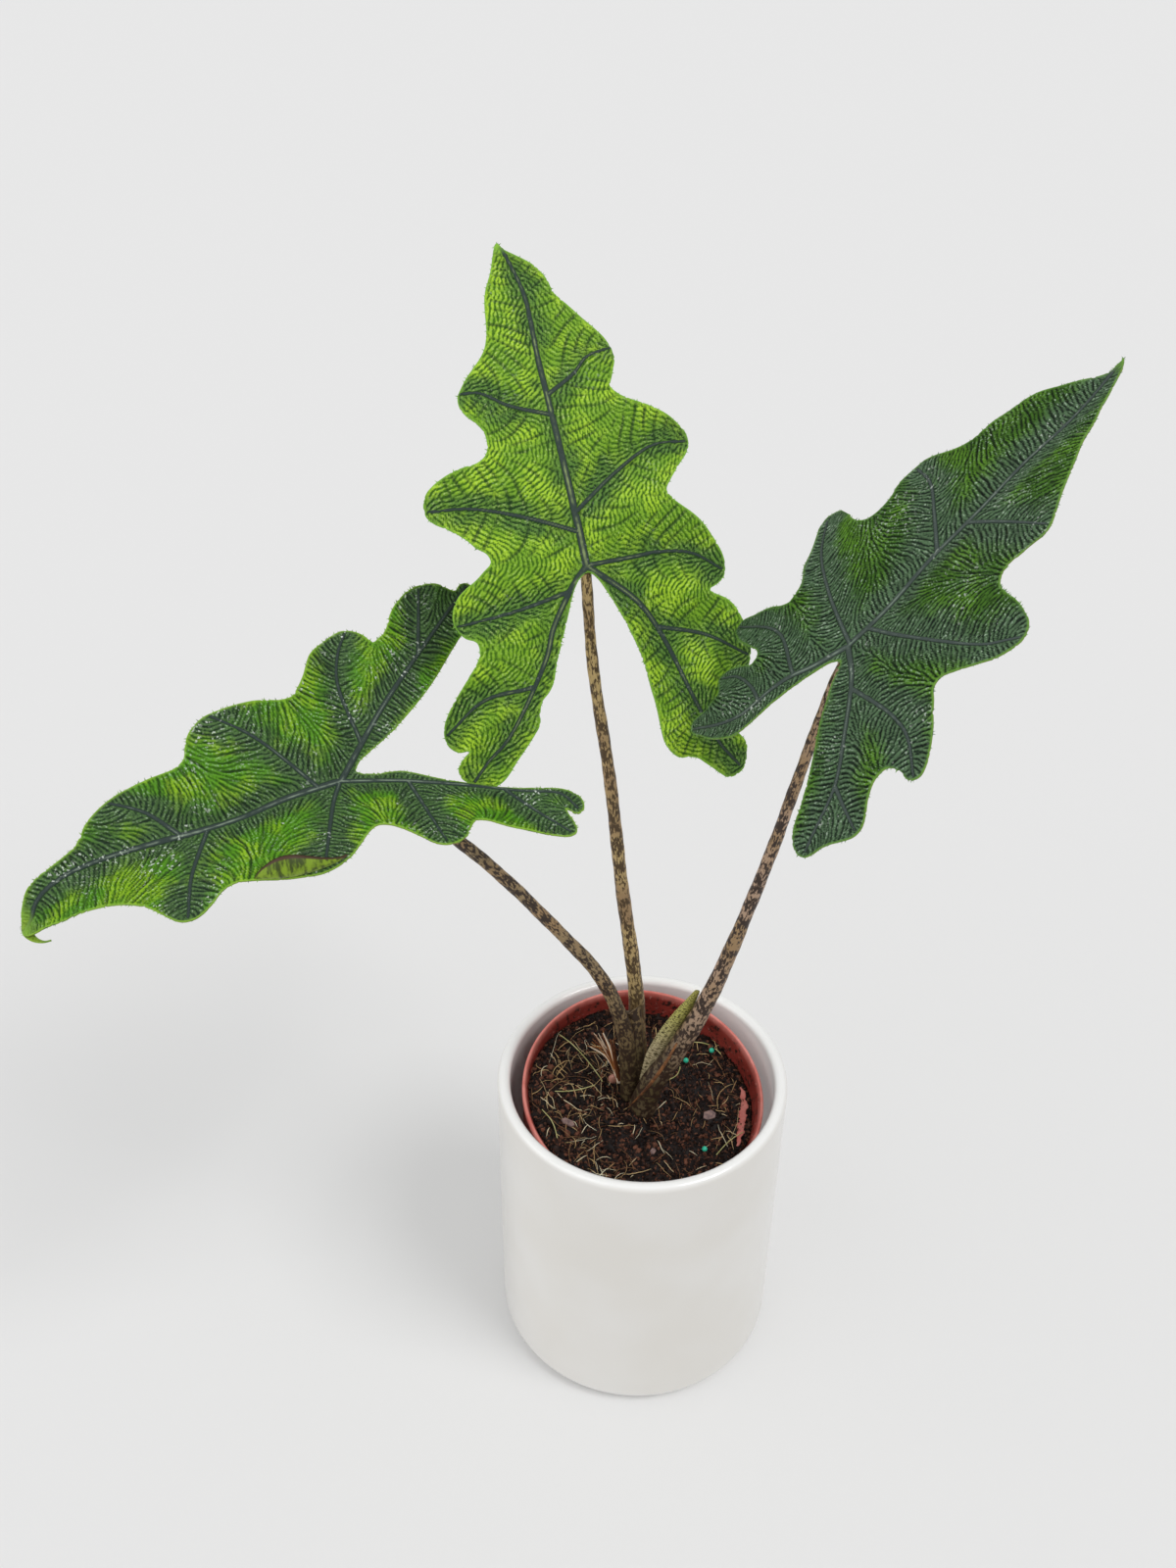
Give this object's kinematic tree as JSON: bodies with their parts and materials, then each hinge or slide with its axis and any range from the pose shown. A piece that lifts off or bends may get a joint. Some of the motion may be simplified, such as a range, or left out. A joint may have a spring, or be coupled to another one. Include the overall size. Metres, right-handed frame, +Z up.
{
  "type": "potted jacklyn alocasia",
  "caption": "House plant with lobed arrow-shaped leaves on mottled stalks, in a plastic nursery pot that stands in a glazed cylindrical cover pot",
  "frame": {"origin": "centre of the cover pot's flat base", "axes": "+Z up along the cover pot, -Y towards the front, where the blades face"},
  "size_m": [0.4117, 0.2284, 0.5467],
  "materials": {
    "glazed_ceramic": "glossy white glaze on stoneware",
    "pot_plastic": "thin moulded salmon-red plastic",
    "compost": "moist peat-like compost",
    "bud": "pinkish smooth bud",
    "pellet": "turquoise coated pellet",
    "bark": "weathered bark",
    "straw": "dry tan fibre",
    "stem_base": "dark mottled stalk bases",
    "blade_green": "green blade, satin, with grey-green veins",
    "stalk": "beige-tan stalk with dark brown mottling",
    "blade_pale": "yellow-green blade, satin, with grey-green veins",
    "blade_dark": "dark green blade, satin, with silvery veins",
    "green_sheath": "ribbed yellow-green sheath",
    "dried_stub": "dried brown fibres"
  },
  "bodies": {
    "root": {"cover_pot": "glazed_ceramic", "nursery_pot": "pot_plastic", "soil": "compost", "bud": "bud", "pellet_1": "pellet", "pellet_2": "pellet", "pellet_3": "pellet", "bark_chip_1": "bark", "bark_chip_2": "bark", "bark_chip_3": "bark", "straw_1": "straw", "straw_2": "straw", "straw_3": "straw", "straw_4": "straw", "straw_5": "straw", "straw_6": "straw", "stem_base": "stem_base", "blade_left": "blade_green", "stalk_left": "stalk", "blade_middle": "blade_pale", "stalk_middle": "stalk", "blade_right": "blade_dark", "stalk_right": "stalk", "new_sheath": "green_sheath", "old_stub": "dried_stub"}
  },
  "joints": []
}
